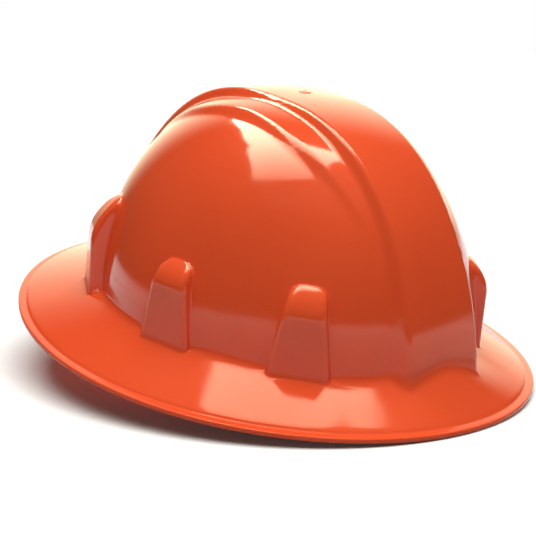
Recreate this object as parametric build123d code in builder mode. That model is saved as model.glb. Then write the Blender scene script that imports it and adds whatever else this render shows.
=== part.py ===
from build123d import *
from math import atan2, cos, degrees, hypot, pi, radians, sin, sqrt, tan
import os

os.makedirs("parts", exist_ok=True)

# Full brim hard hat. It is drawn level in its own frame, +X forward, +Y to the wearer's left, +Z up,
# with Z zero at the lowest edge of the front lip, and each piece is then moved to the rest pose.

# Rim and rest
rim_length = 320.0
rim_width = 266.0
rim_sag = 5.0
nape_drop = 41.2
nape_back = 95.0

# Dome of the crown
crown_forward = 8.0
crown_front = 122.0
crown_rear = 126.0
crown_width = 194.0
crown_height = 131.0
skirt_height = 17.0
wall = 2.4
plan_power = 1.78
dome_rise_power = 1.8
dome_reach_power = 2.36

# Stepped centre ridge
ridge_height = 133.2
ridge_front = 124.5
ridge_rear = 130.0
ridge_rise_power = 1.5
ridge_reach_power = 2.5
plateau_half = 23.0
plateau_base_half = 27.0
plateau_crown = 1.2
ledge_half = 39.5
ledge_lift = 2.6
ledge_lift_power = 1.4
riser_run = 2.2

# Angles from the top of the crown between which the ridge's lines change, ahead and behind
flare_start = radians(40)
flare_run = radians(50)
ledge_draw_start = radians(12)
ledge_draw_run = radians(40)
ledge_draw_share = 0.55
ledge_fade_start = radians(22)
ledge_fade_run = radians(35)

# Brim
root_side = 16.5
root_front = 25.0
root_arch = radians(30)
root_radius = 3.4
bead_inset = 5.4
bead_rise = 4.2
bead_step = 0.55
lip_height = 2.6
lip_width = 2.4
lip_round = 0.7

# Key pockets
pocket_places = {"front": 94.0, "middle": 28.0, "rear": -60.0}
pocket_width = 32.0
pocket_height = 50.0
pocket_taper = radians(9.5)
pocket_proud = 3.4
pocket_corner = 6.0
pocket_edge = 2.4
keeper_thick = 2.0
keeper_height = 30.0
fit_gap = 0.3

# Suspension keys
seat_gap = 0.2
key_samples = 4
key_width = 25.0
shelf_low = 2.0
shelf_thick = 3.2
tab_thick = 2.2
tab_top = 22.0
tongue_corner = 3.0
strap_width = 19.0
strap_thick = 1.2
strap_gap = 0.2
strap_hem = 3.0
strap_top = 96.0
strap_step = 1.6
strap_foot = 18.0
strap_flat = 26.0

# Headband
band_half = 104.0
band_half_width = 76.5
band_gap = 0.3
band_thick = 1.8
band_low = -8.0
band_high = 25.0
band_rear_low = -1.0
band_rear_high = 20.0
band_taper_front = 55.0
band_taper_rear = -20.0
band_end = -82.0
band_bend = 60.0
band_corner = 6.0
hook_low = 9.0
hook_high = 15.0
hook_width = 10.0
hook_head = 2.0

# Brow pad
soft_gap = 0.3
pad_low = -6.0
pad_high = 23.0
pad_thick = 5.0
pad_turn = 58.0
pad_channels = 11
channel_radius = 2.0
channel_depth = 1.2

# Side arms and studs
arm_gap = 0.4
arm_thick = 1.8
arm_front = -66.5
arm_high = 17.0
arm_low = 3.0
arm_shoulder = -75.0
arm_turn = -85.0
arm_bend = 5.0
arm_end = 27.0
arm_end_height = 6.0
stud_places = (-70.5, -77.0)
stud_level = 10.0
stud_radius = 1.8
stud_head = 1.0
stud_lift = 0.15

# Ratchet
pinion_level = -27.0
gear_module = 1.0
gear_teeth = 10
pitch_radius = gear_module * gear_teeth / 2
tooth_addendum = 0.8
tooth_dedendum = 1.1
tooth_slope = radians(20)
tooth_half = 0.62
tooth_root_half = 0.95
tooth_pitch_half = 0.62
tooth_tip_half = 0.3
gear_overlap = 0.6
rack_front = -92.4
rack_thick = 2.0
rack_back = 4.4
rack_tip = 13.0
rack_teeth = 9
rack_teeth_across = 4
rack_block = 3.5
rack_reach = 1.3
housing_front = -88.8
housing_back = -102.0
housing_width = 62.0
housing_high = -12.5
housing_low = -48.0
housing_round = 5.0
housing_edge = 2.5
housing_wall = 2.0
cavity_height = 23.0
screw_place = 20.0
screw_radius = 1.3
screw_length = 7.0
screw_head = 1.4
screw_head_radius = 2.5
boss_radius = 2.6
running_gap = 0.05
shaft_radius = 2.5
bearing_depth = 1.2
cover_thick = 2.0
collar_height = 5.0
collar_radius = 4.2
pawl_reach = 9.6
pawl_thick = 1.2
pawl_turn = 120
drive_width = 3.2
drive_length = 3.0
knob_radius = 15.0
knob_wall = 2.4
knob_inner = 11.5
knob_gap = 0.5
knob_round = 2.5
knob_flute = 1.6
knob_flutes = 20
detent_teeth = 30
detent_tooth = 0.9

# Nape pad
nape_pad_low = -36.0
nape_pad_high = -15.5
nape_pad_width = 52.0
nape_pad_corner = 6.0
nape_pad_thick = 5.0

# Fan of arches that the crown is lofted through
fan_low = 10.0
crown_floor = 12.0
fan_steps = 16
fan_overrun = radians(6)
side_stations = 6
brim_steps = 12
brim_overrun = radians(9)
overrun = 30.0
under = (Align.CENTER, Align.CENTER, Align.MAX)

sides = {"left": 1, "right": -1}
rest_pitch = atan2(nape_drop, rim_length / 2 + nape_back)


def smooth(share):
    """Smooth step from nought to one."""
    share = min(max(share, 0.0), 1.0)
    return share * share * (3 - 2 * share)


def halved(is_inside, high):
    """Largest value that is still inside, found by halving."""
    low = 0.0
    for _ in range(40):
        middle = (low + high) / 2
        low, high = (middle, high) if is_inside(middle) else (low, middle)
    return low


def crown_reach(angle, inset):
    """Reach of the dome's plan from its centre, ahead or behind."""
    return (crown_front if angle > 0 else crown_rear) - inset


def dome_level(height, inset):
    """Size of the dome's level outline at a height, as a share of its size at the skirt."""
    rise = max((height - skirt_height) / (crown_height - inset - skirt_height), 0.0)
    return max(1 - rise**dome_rise_power, 0.0) ** (1 / dome_reach_power)


def dome_breadth(angle, reach, inset):
    """Half breadth of the dome on an arch's plane, at a reach from the fan's axis."""
    level = dome_level(reach * cos(angle), inset)
    forward = abs(reach * sin(angle)) / crown_reach(angle, inset)
    rest = max(level**plan_power - forward**plan_power, 0.0)
    return (crown_width / 2 - inset) * rest ** (1 / plan_power)


def dome_reach(angle, across, inset):
    """Reach of the dome from the fan's axis, at a place across an arch's plane."""
    return halved(lambda reach: dome_breadth(angle, reach, inset) > across, 2 * crown_rear)


def ridge_reach(angle, inset):
    """Reach of the plateau from the fan's axis."""
    length = (ridge_front if angle > 0 else ridge_rear) - inset

    def is_inside(reach):
        rise = max((reach * cos(angle) - skirt_height) / (ridge_height - inset - skirt_height), 0.0)
        forward = abs(reach * sin(angle)) / length
        return rise**ridge_rise_power + forward**ridge_reach_power < 1

    return halved(is_inside, 2 * crown_rear)


def arch_reach(angle, across, inset):
    """Reach of the stepped crown: the dome, with the ledge and the plateau raised on it."""
    slope = abs(angle)
    flare = smooth((slope - flare_start) / flare_run)
    draw = ledge_draw_share * smooth((slope - ledge_draw_start) / ledge_draw_run)
    fade = smooth((slope - ledge_fade_start) / ledge_fade_run)
    half = plateau_half + (plateau_base_half - plateau_half) * flare - inset / 2
    ledge = ledge_half - (ledge_half - plateau_half) * draw - inset / 2
    lift = ledge_lift * (1 - fade) * (across / ledge_half) ** ledge_lift_power
    dome = dome_reach(angle, across, inset)
    on_ledge = smooth((ledge + riser_run - across) / (2 * riser_run))
    on_plateau = smooth((half + riser_run - across) / (2 * riser_run))
    low = dome + lift * on_ledge
    high = ridge_reach(angle, inset) + plateau_crown * (1 - (across / half) ** 2)
    return low + (max(high, low) - low) * on_plateau


def arch_half(angle, inset):
    """Points of half an arch, from the middle of the plateau down to the fan's low end."""
    across = [0.0, 0.45 * plateau_half]
    start, end = plateau_half - 3.2 * riser_run, ledge_half + 2.4 * riser_run
    count = int((end - start) / riser_run) + 1
    across += [start + (end - start) * step / count for step in range(count + 1)]
    points = [(y, arch_reach(angle, y, inset)) for y in across]
    top = dome_reach(angle, across[-1], inset)
    for step in range(1, side_stations + 1):
        reach = fan_low + (top - fan_low) * (1 - step / side_stations)
        points.append((dome_breadth(angle, reach, inset), reach))
    return points


def arch_plane(angle):
    """Plane of an arch: it holds the fan's axis, with its own Y along the arch's reach."""
    return Plane(origin=(crown_forward, 0, 0), x_dir=(0, 1, 0), z_dir=(cos(angle), 0, -sin(angle)))


def length_marks(points):
    """Share of its length at which each point of a line lies."""
    marks = [0.0]
    for start, end in zip(points, points[1:]):
        marks.append(marks[-1] + hypot(end[0] - start[0], end[1] - start[1]))
    return [mark / marks[-1] for mark in marks]


top_half = arch_half(0.0, 0.0)
arch_marks = length_marks([(-y, r) for y, r in reversed(top_half)] + top_half[1:])


def crown_solid(inset):
    """Solid of the crown down to its floor, lofted through the fan of arches."""
    with BuildPart() as crown:
        for step in range(fan_steps + 1):
            angle = (pi / 2 + fan_overrun) * (2 * step / fan_steps - 1)
            half = arch_half(angle, inset)
            arch = [(-y, r) for y, r in reversed(half)] + half[1:]
            with BuildSketch(arch_plane(angle)):
                with BuildLine():
                    add(Edge.make_spline(arch, parameters=arch_marks))
                    Line(arch[-1], arch[0])
                make_face()
        loft()
        with Locations((0, 0, crown_floor)):
            Box(2 * rim_length, 2 * rim_width, 2 * overrun, align=under, mode=Mode.SUBTRACT)
    return crown.part


def rim_point(turn):
    """Outer point of the rim at a turn from the front, with the height of its lowest edge."""
    return rim_length / 2 * cos(turn), rim_width / 2 * sin(turn), -rim_sag * sin(turn) ** 2


def root_point(turn):
    """Point inside the crown's wall where the brim springs, with the height of the brim's top."""
    reach = crown_reach(cos(turn), wall / 2)
    x = crown_forward + reach * abs(cos(turn)) ** (2 / plan_power) * (1 if cos(turn) > 0 else -1)
    y = (crown_width / 2 - wall / 2) * abs(sin(turn)) ** (2 / plan_power) * (1 if sin(turn) > 0 else -1)
    rise = (root_front - root_side) * (1 - smooth(abs(turn) / root_arch))
    return x, y, root_side + rise


def brim_section(turn):
    """Plane of a brim section and its outline, from the underside of the root round the lip."""
    (x, y, low), (root_x, root_y, root_z) = rim_point(turn), root_point(turn)
    run = hypot(x - root_x, y - root_y)
    out = ((x - root_x) / run, (y - root_y) / run)
    plane = Plane(origin=(root_x, root_y, 0), x_dir=(*out, 0), z_dir=(out[1], -out[0], 0))
    start = wall / 2
    bead = (run - bead_inset, low + bead_rise)
    fall = atan2(root_z - bead[1], bead[0] - start)
    foot = (start + root_radius * cos(fall), root_z - root_radius * sin(fall))
    corner_half = (pi / 2 + fall) / 2
    depth = root_radius * (1 - sin(corner_half)) / cos(corner_half)
    knee = (start + depth * cos(pi / 2 - corner_half), root_z + depth * sin(pi / 2 - corner_half))
    thick = wall / cos(fall)
    outline = [
        foot,
        bead,
        (bead[0] + 2 * bead_step, bead[1] - 2 * bead_step),
        (run - lip_round, low + lip_height),
        (run, low + lip_height - lip_round),
        (run, low + lip_round),
        (run - lip_round, low),
        (run - lip_width, low),
        (run - lip_width, low + lip_height - 0.8 * wall),
        (bead[0], bead[1] - thick),
        (-start, root_z + 2 * start * tan(fall) - thick),
        (-start, root_z + root_radius),
        (start, root_z + root_radius),
    ]
    return plane, outline, knee


def brim_half():
    """Half of the brim on the wearer's left, lofted through its sections."""
    with BuildPart() as half:
        for step in range(brim_steps + 1):
            turn = -brim_overrun + (pi + 2 * brim_overrun) * step / brim_steps
            plane, outline, knee = brim_section(turn)
            with BuildSketch(plane):
                with BuildLine():
                    Polyline(outline)
                    ThreePointArc(outline[-1], knee, outline[0])
                make_face()
        loft()
        split(bisect_by=Plane.XZ, keep=Keep.BOTTOM)
    return half.part


def crown_spot(place, side):
    """Plane on the crown's skirt at a place along it, facing out, with its own Y upwards."""
    reach = crown_front if place > crown_forward else crown_rear
    along = (place - crown_forward) / reach
    across = (1 - abs(along) ** plan_power) ** (1 / plan_power)
    slope_x = abs(along) ** (plan_power - 1) / reach * (1 if along > 0 else -1)
    slope_y = across ** (plan_power - 1) / (crown_width / 2)
    size = hypot(slope_x, slope_y)
    out = (slope_x / size, side * slope_y / size, 0)
    return Plane((place, side * across * crown_width / 2, 0), x_dir=(-out[1], out[0], 0), z_dir=out)


def pocket_outline(inset, low, high):
    """Tapered outline of a key pocket, drawn in from its walls, between two heights."""
    foot = root_side
    half = pocket_width / 2 - inset
    low_half = half - (low - foot) * tan(pocket_taper)
    high_half = half - (high - foot) * tan(pocket_taper)
    return [(-low_half, low), (low_half, low), (high_half, high), (-high_half, high)]


def pocket_bulge(spot):
    """Key pocket seen from outside: a tapered block with rounded shoulders, sunk in the dome."""
    with BuildPart() as bulge:
        with BuildSketch(spot.offset(pocket_proud)) as outline:
            Polygon(pocket_outline(0, root_side - wall / 2, pocket_top), align=None)
            fillet(outline.vertices().group_by(Axis.Z)[-1], pocket_corner)
        extrude(amount=-crown_width / 8)
        front = bulge.faces().sort_by(Axis(spot.origin, spot.z_dir))[-1]
        fillet(front.edges().filter_by(lambda edge: edge.center().Z > root_side), pocket_edge)
    return bulge.part


def pocket_cavity(spot):
    """Hollow of a pocket, open below and to the inside, that takes a suspension key."""
    with BuildPart() as cavity:
        with BuildSketch(spot.offset(pocket_proud - wall)) as outline:
            Polygon(pocket_outline(wall, -overrun, pocket_top - wall), align=None)
            fillet(outline.vertices().group_by(Axis.Z)[-1], pocket_corner - wall)
        extrude(amount=-crown_width / 8)
    return cavity.part


def pocket_keeper(spot):
    """Bar across a pocket, inside the shell, that holds a key's tongue against the wall."""
    with BuildPart() as keeper:
        with BuildSketch(spot.offset(-wall - keeper_thick / 2)):
            Polygon(pocket_outline(-wall / 2, root_side, root_side + keeper_height), align=None)
        extrude(amount=keeper_thick)
    return keeper.part


pocket_spots = {
    (name, side): crown_spot(place, sign)
    for name, place in pocket_places.items()
    for side, sign in sides.items()
}
pocket_top = root_side + pocket_height
crown_outside = crown_solid(0)
crown_inside = crown_solid(wall)
brim_left = brim_half()
brim_right = brim_left.mirror(Plane.XZ)
bulges = [pocket_bulge(spot) for spot in pocket_spots.values()]

cavities = [pocket_cavity(spot) for spot in pocket_spots.values()]
keepers = [pocket_keeper(spot) for spot in pocket_spots.values()]

with BuildPart() as shell:
    add(crown_outside)
    add([*bulges, brim_left, brim_right])
    add([crown_inside, *cavities], mode=Mode.SUBTRACT)
    add(keepers)


def finish(piece, label):
    """Label a piece, move it to the rest pose and write it."""
    posed = piece.part.moved(rest_place)
    posed.label = label
    export_step(posed, f"parts/{label}.step")


# Rest pose: the front lip and the foot of the nape ratchet stand on the floor.
tilt = Rotation(0, degrees(rest_pitch), 0)
shell_box = shell.part.moved(tilt).bounding_box()
rest_place = Location((-shell_box.center().X, 0, -shell_box.min.Z)) * tilt
finish(shell, "shell")


def upright(origin, out):
    """Upright plane through a point, with its own X along a level direction and Y upwards."""
    return Plane(origin=(*origin, 0), x_dir=(*out, 0), z_dir=(out[1], -out[0], 0))


def band_distance(spot, width):
    """Level distance from the skirt, along a pocket's normal, at which a flat tab clears the headband."""
    nearest = band_half
    for step in range(-key_samples, key_samples + 1):
        start = spot.origin + spot.x_dir * (width / 2 * step / key_samples)
        ahead, beside = (start.X - crown_forward) / band_half, start.Y / band_half_width
        step_ahead, step_beside = -spot.z_dir.X / band_half, -spot.z_dir.Y / band_half_width
        square = step_ahead**2 + step_beside**2
        middle = ahead * step_ahead + beside * step_beside
        reach = (-middle - sqrt(middle**2 - square * (ahead**2 + beside**2 - 1))) / square
        nearest = min(nearest, reach)
    return nearest


# Each crossing strap runs between two keys, over the crown from one side to the other.
partners = {"front": "rear", "middle": "middle", "rear": "front"}
key_frames, slot_points = {}, {}
for key_place, spot in pocket_spots.items():
    distance = band_distance(spot, key_width)
    frame = upright((spot.origin.X, spot.origin.Y), (spot.z_dir.X, spot.z_dir.Y))
    key_frames[key_place] = frame, distance
    slot_middle = (wall + keeper_thick / 2 + distance - band_gap - tab_thick) / 2
    slot_points[key_place] = spot.origin - spot.z_dir * slot_middle
strap_strips, key_slots = {}, {}
for name, partner in partners.items():
    start, end = slot_points[(name, "left")], slot_points[(partner, "right")]
    length = (end - start).length
    inward = (end - start) / length
    strip = upright((start.X, start.Y), (inward.X, inward.Y))
    strap_strips[name] = strip, length
    key_slots[(name, "left")] = strip, 0
    key_slots[(partner, "right")] = strip, length

blade_in = -wall + keeper_thick / 2 + seat_gap
blade_out = pocket_proud - wall - seat_gap
hook_level = (hook_low + hook_high) / 2
hook_tall = hook_high - hook_low
for (name, side), spot in pocket_spots.items():
    frame, distance = key_frames[(name, side)]
    strip, slot_at = key_slots[(name, side)]
    tab_in = -distance + band_gap
    hook_in = -band_distance(spot, hook_width) - 2 * band_thick
    with BuildPart() as key:
        with BuildSketch(spot.offset(blade_in)) as tongue:
            blade_top = root_side + keeper_height - fit_gap
            Polygon(pocket_outline(wall + fit_gap, shelf_low, blade_top), align=None)
            fillet(tongue.vertices().group_by(Axis.Z)[-1], tongue_corner)
        extrude(amount=blade_out - blade_in)
        with BuildSketch(frame):
            with BuildLine():
                Polyline(
                    (0, shelf_low),
                    (0, shelf_low + shelf_thick),
                    (tab_in + tab_thick, shelf_low + shelf_thick),
                    (tab_in + tab_thick, tab_top),
                    (tab_in, tab_top),
                    (tab_in, shelf_low),
                    close=True,
                )
            make_face()
        extrude(amount=key_width / 2, both=True)
        with BuildSketch(strip.offset(-strap_width / 2 - fit_gap)):
            with Locations((slot_at, shelf_low)):
                Rectangle(strap_thick + 2 * fit_gap, 4 * shelf_thick)
        extrude(amount=strap_width + 2 * fit_gap, mode=Mode.SUBTRACT)
        with BuildSketch(frame):
            with Locations((hook_in, hook_level)):
                Rectangle(tab_in - hook_in, hook_tall - 2 * fit_gap, align=(Align.MIN, Align.CENTER))
                Rectangle(hook_head, hook_tall + hook_head, align=(Align.MAX, Align.CENTER))
        extrude(amount=hook_width / 2 - fit_gap, both=True)
    finish(key, f"key_{name}_{side}")

# Crossing straps, each a strip flat over the crown, with a thick hem under each key's shelf
for order, name in enumerate(("middle", "front", "rear")):
    strip, length = strap_strips[name]
    crossing = strip.origin.Y / -strip.x_dir.Y
    top = strap_top + order * strap_step - strap_foot
    hem_top = shelf_low - fit_gap
    low_face, high_face = -strap_thick / 2, length + strap_thick / 2
    low_turn, high_turn = crossing - strap_flat, crossing + strap_flat
    with BuildPart() as strap:
        with BuildSketch(strip):
            with BuildLine():
                for inset in (0, strap_thick):
                    tall = top - inset
                    EllipticalCenterArc(
                        (low_turn, strap_foot), low_turn - low_face - inset, tall, start_angle=90, arc_size=90
                    )
                    EllipticalCenterArc(
                        (high_turn, strap_foot), high_face - inset - high_turn, tall, arc_size=90
                    )
                    Line((low_turn, strap_foot + tall), (high_turn, strap_foot + tall))
                for face, inner in ((low_face, low_face + strap_thick), (high_face, high_face - strap_thick)):
                    Line((face, strap_foot), (face, hem_top))
                    Line((face, hem_top), (inner, hem_top))
                    Line((inner, hem_top), (inner, strap_foot))
            make_face()
            with Locations((0, hem_top - strap_hem / 2), (length, hem_top - strap_hem / 2)):
                RectangleRounded(strap_hem, strap_hem, strap_hem / 3)
        extrude(amount=strap_width / 2, both=True)
    finish(strap, f"crown_strap_{name}")


def level_ring(inner_half, inner_half_width, thick, low, high):
    """Upright oval band round the head, closed."""
    with BuildPart() as ring:
        with BuildSketch(Plane.XY.offset(low)):
            with Locations((crown_forward, 0)):
                Ellipse(inner_half + thick, inner_half_width + thick)
                Ellipse(inner_half, inner_half_width, mode=Mode.SUBTRACT)
        extrude(amount=high - low)
    return ring.part


# Headband, open at the nape, deeper at the brow, with a slot for each key and holes for the studs
stud_spots = []
for place in stud_places:
    across = band_half_width * sqrt(1 - ((place - crown_forward) / band_half) ** 2)
    slope = (place - crown_forward) / band_half**2, across / band_half_width**2
    size = hypot(*slope)
    stud_spots.append((place, across, slope[0] / size, slope[1] / size))
band_ring = level_ring(band_half - band_thick, band_half_width - band_thick, band_thick, band_low, band_high)
with BuildPart() as headband:
    add(band_ring)
    with BuildSketch(Plane.XZ) as side_view:
        with BuildLine():
            Polyline(
                (rim_length / 2, band_low),
                (band_taper_front, band_low),
                (band_taper_rear, band_rear_low),
                (band_end, band_rear_low),
                (band_end, band_rear_high),
                (band_taper_rear, band_rear_high),
                (band_taper_front, band_high),
                (rim_length / 2, band_high),
                close=True,
            )
        make_face()
        columns = side_view.vertices().group_by(Axis.X)
        fillet([*columns[1], *columns[2]], band_bend)
        fillet(side_view.vertices().group_by(Axis.X)[0], band_corner)
    extrude(amount=rim_width / 2, both=True, mode=Mode.INTERSECT)
    for frame, distance in key_frames.values():
        with BuildSketch(frame.offset(-hook_width / 2)):
            with Locations((-distance, hook_level)):
                Rectangle(8 * band_thick, hook_tall)
        extrude(amount=hook_width, mode=Mode.SUBTRACT)
    for x, y, out_x, out_y in stud_spots:
        for side in sides.values():
            with BuildSketch(Plane((x, side * y, stud_level), z_dir=(out_x, side * out_y, 0))):
                Circle(stud_radius + running_gap)
            extrude(amount=3 * band_thick, both=True, mode=Mode.SUBTRACT)
finish(headband, "headband")

# Brow pad: a cushion bent round the front of the headband, with a crowned face and channels
pad_half, pad_half_width = band_half - band_thick - soft_gap, band_half_width - band_thick - soft_gap
pad_level = (pad_low + pad_high) / 2
pad_plane = Plane((crown_forward, 0, pad_level))
with BuildPart() as brow_pad:
    with BuildLine(pad_plane) as pad_path:
        EllipticalCenterArc((0, 0), pad_half, pad_half_width, -pad_turn, arc_size=2 * pad_turn)
    with BuildSketch(Plane(pad_path.line @ 0, x_dir=(0, 0, -1), z_dir=pad_path.line % 0)) as pad_section:
        tall = (pad_high - pad_low) / 2
        with BuildLine():
            Line((-tall, 0), (tall, 0))
            Line((tall, 0), (tall, pad_thick * 0.45))
            ThreePointArc((tall, pad_thick * 0.45), (0, pad_thick), (-tall, pad_thick * 0.45))
            Line((-tall, pad_thick * 0.45), (-tall, 0))
        make_face()
    sweep(path=pad_path.line)
    for step in range(pad_channels):
        share = (step + 1) / (pad_channels + 1)
        spot = pad_path.line @ share
        inward = Plane(spot, x_dir=(0, 0, -1), z_dir=pad_path.line % share).y_dir
        with Locations(spot + inward * (pad_thick + channel_radius - channel_depth)):
            Cylinder(channel_radius, 2 * pad_high, mode=Mode.SUBTRACT)
    for frame, distance in key_frames.values():
        with BuildSketch(frame.offset(-hook_width / 2 - soft_gap)):
            with Locations((-distance, hook_level)):
                Rectangle(4 * hook_head + 4 * band_thick, hook_tall + hook_head + 2 * soft_gap)
        extrude(amount=hook_width + 2 * soft_gap, mode=Mode.SUBTRACT)
finish(brow_pad, "brow_pad")

# Side arms: springy bands from the headband's ends down to the nape ratchet
arm_ring = level_ring(band_half + arm_gap, band_half_width + arm_gap, arm_thick, housing_low, band_high)
for side, sign in sides.items():
    lane_middle = pinion_level + sign * (pitch_radius + rack_back / 2 + tooth_dedendum)
    with BuildPart() as side_arm:
        add(arm_ring)
        with BuildSketch(Plane.XZ) as arm_view:
            lane_high, lane_low = lane_middle + arm_end_height / 2, lane_middle - arm_end_height / 2
            Polygon(
                (arm_front, arm_high),
                (arm_shoulder, arm_high),
                (arm_turn, lane_high),
                (-rim_length / 2, lane_high),
                (-rim_length / 2, lane_low),
                (arm_turn, lane_low),
                (arm_front, arm_low),
                align=None,
            )
            columns = arm_view.vertices().group_by(Axis.X)
            fillet([*columns[1], *columns[2]], arm_bend)
        extrude(amount=rim_width / 2, both=True, mode=Mode.INTERSECT)
        with Locations((0, sign * (arm_end + rim_width / 2), 0)):
            Box(2 * rim_length, rim_width, 8 * overrun, mode=Mode.INTERSECT)
        for x, y, out_x, out_y in stud_spots:
            with BuildSketch(Plane((x, sign * y, stud_level), z_dir=(out_x, sign * out_y, 0))):
                Circle(stud_radius + running_gap)
            extrude(amount=3 * arm_thick, both=True, mode=Mode.SUBTRACT)
    finish(side_arm, f"side_arm_{side}")

# Studs that fasten the arms to the headband, one group of rivets
with BuildPart() as arm_studs:
    for x, y, out_x, out_y in stud_spots:
        for side in sides.values():
            stand = Plane((x, side * y, stud_level), z_dir=(out_x, side * out_y, 0))
            with BuildSketch(stand.offset(-band_thick - running_gap - stud_head)):
                Circle(stud_radius)
            extrude(amount=band_thick + arm_gap + arm_thick + 2 * (running_gap + stud_head))
            with BuildSketch(stand.offset(arm_gap + arm_thick + stud_lift)):
                Circle(2 * stud_radius)
            extrude(amount=stud_head)
            with BuildSketch(stand.offset(-band_thick - stud_lift - stud_head)):
                Circle(2 * stud_radius)
            extrude(amount=stud_head)
finish(arm_studs, "arm_studs")

# Toothed racks, one above the pinion and one below it, each with a block that takes its arm
pitch = pi * gear_module
for side, sign in sides.items():
    with BuildPart() as rack:
        with BuildSketch(Plane.YZ.offset(rack_front - rack_thick)):
            with BuildLine():
                level = pinion_level + sign * pitch_radius
                root, tip = level + sign * tooth_dedendum, level - sign * tooth_addendum
                half_tip = tooth_half - tooth_addendum * tan(tooth_slope)
                half_root = tooth_half + tooth_dedendum * tan(tooth_slope)
                back = root + sign * rack_back
                outline = [(-sign * rack_tip, back), (-sign * rack_tip, root)]
                for tooth in range(rack_teeth):
                    y = sign * (tooth - rack_teeth_across + 0.5) * pitch
                    outline += [(y - sign * half_root, root), (y - sign * half_tip, tip)]
                    outline += [(y + sign * half_tip, tip), (y + sign * half_root, root)]
                outline += [(sign * arm_end, root), (sign * arm_end, back)]
                Polyline(outline, close=True)
            make_face()
        extrude(amount=rack_thick)
        with Locations((rack_front - rack_thick, sign * (arm_end - rack_block / 2), (root + back) / 2)):
            Box(rack_thick + rack_reach, rack_block, rack_back, align=(Align.MIN, Align.CENTER, Align.CENTER))
    finish(rack, f"rack_{side}")

# Ratchet housing: an open box behind the nape, with side mouths for the racks
floor_up = (-sin(rest_pitch), 0, cos(rest_pitch))
floor_along = (cos(rest_pitch), 0, sin(rest_pitch))
floor_plane = Plane((rim_length / 2 - lip_round, 0, 0), x_dir=floor_along, z_dir=floor_up)
housing_depth = housing_front - housing_back
housing_face = Plane.YZ.offset(housing_back)
with BuildPart() as ratchet_housing:
    with BuildSketch(housing_face):
        with Locations((0, (housing_high + housing_low) / 2)):
            RectangleRounded(housing_width, housing_high - housing_low, housing_round)
    extrude(amount=housing_depth)
    front = ratchet_housing.faces().sort_by(Axis.X)[-1]
    fillet(front.edges(), housing_edge)
    with BuildSketch(housing_face):
        with Locations((0, pinion_level)):
            Rectangle(housing_width - 2 * housing_wall, cavity_height)
    extrude(amount=housing_depth - housing_wall, mode=Mode.SUBTRACT)
    with BuildSketch(housing_face.offset(rack_front - rack_thick - housing_back - fit_gap)):
        with Locations((0, pinion_level)):
            Rectangle(2 * housing_width, cavity_height)
    extrude(amount=housing_front - housing_wall - rack_front + rack_thick + fit_gap, mode=Mode.SUBTRACT)
    with BuildSketch(housing_face.offset(rack_front - rack_thick - housing_back - fit_gap)):
        for side in sides.values():
            with Locations((side * (arm_end + housing_wall), pinion_level)):
                Rectangle(2 * (housing_wall + seat_gap), cavity_height)
    extrude(amount=housing_depth, mode=Mode.SUBTRACT)
    with BuildSketch(housing_face):
        with Locations((screw_place, pinion_level), (-screw_place, pinion_level)):
            Circle(boss_radius)
    extrude(amount=housing_depth - housing_wall)
    with BuildSketch(housing_face):
        with Locations((screw_place, pinion_level), (-screw_place, pinion_level)):
            Circle(screw_radius + running_gap)
    extrude(amount=screw_length, mode=Mode.SUBTRACT)
    with BuildSketch(Plane.YZ.offset(housing_front - housing_wall)):
        with Locations((0, pinion_level)):
            Circle(shaft_radius + running_gap)
    extrude(amount=bearing_depth, mode=Mode.SUBTRACT)
    split(bisect_by=floor_plane, keep=Keep.TOP)
finish(ratchet_housing, "ratchet_housing")

# Ratchet cover, a plate over the back of the housing with a collar round the shaft
with BuildPart() as ratchet_cover:
    with BuildSketch(Plane.YZ.offset(housing_back - cover_thick)):
        with Locations((0, (housing_high + housing_low) / 2)):
            RectangleRounded(housing_width, housing_high - housing_low, housing_round)
    extrude(amount=cover_thick)
    back = ratchet_cover.faces().sort_by(Axis.X)[0]
    fillet(back.edges(), cover_thick / 3)
    with BuildSketch(Plane.YZ.offset(housing_back - cover_thick - collar_height)):
        with Locations((0, pinion_level)):
            Circle(collar_radius)
    extrude(amount=collar_height + cover_thick / 2)
    with BuildSketch(Plane.YZ.offset(housing_back - cover_thick - collar_height)):
        with Locations((0, pinion_level)):
            Circle(shaft_radius + running_gap)
    extrude(amount=collar_height + cover_thick, mode=Mode.SUBTRACT)
    with BuildSketch(Plane.YZ.offset(housing_back - cover_thick)):
        with Locations((screw_place, pinion_level), (-screw_place, pinion_level)):
            Circle(screw_radius + running_gap)
    extrude(amount=cover_thick, mode=Mode.SUBTRACT)
    split(bisect_by=floor_plane, keep=Keep.TOP)
finish(ratchet_cover, "ratchet_cover")

# Detent ring: a ring on the collar with two springy pawls inside the knob's teeth
with BuildPart() as detent_ring:
    with BuildSketch(Plane.YZ.offset(housing_back - cover_thick - collar_height)):
        with Locations((0, pinion_level)):
            Circle(pawl_reach - 1.6 * pawl_thick)
            Circle(collar_radius + running_gap, mode=Mode.SUBTRACT)
        for turn in (0, 180):
            with BuildLine(Plane.XY):
                arc_high = CenterArc((0, pinion_level), pawl_reach, turn, pawl_turn)
                arc_low = CenterArc((0, pinion_level), pawl_reach - pawl_thick, turn, pawl_turn)
                Line(arc_high @ 0, arc_low @ 0)
                Line(arc_high @ 1, arc_low @ 1)
            make_face()
            with Locations(arc_low @ 1):
                Circle(pawl_thick)
    extrude(amount=collar_height - fit_gap)
finish(detent_ring, "detent_ring")

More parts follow.
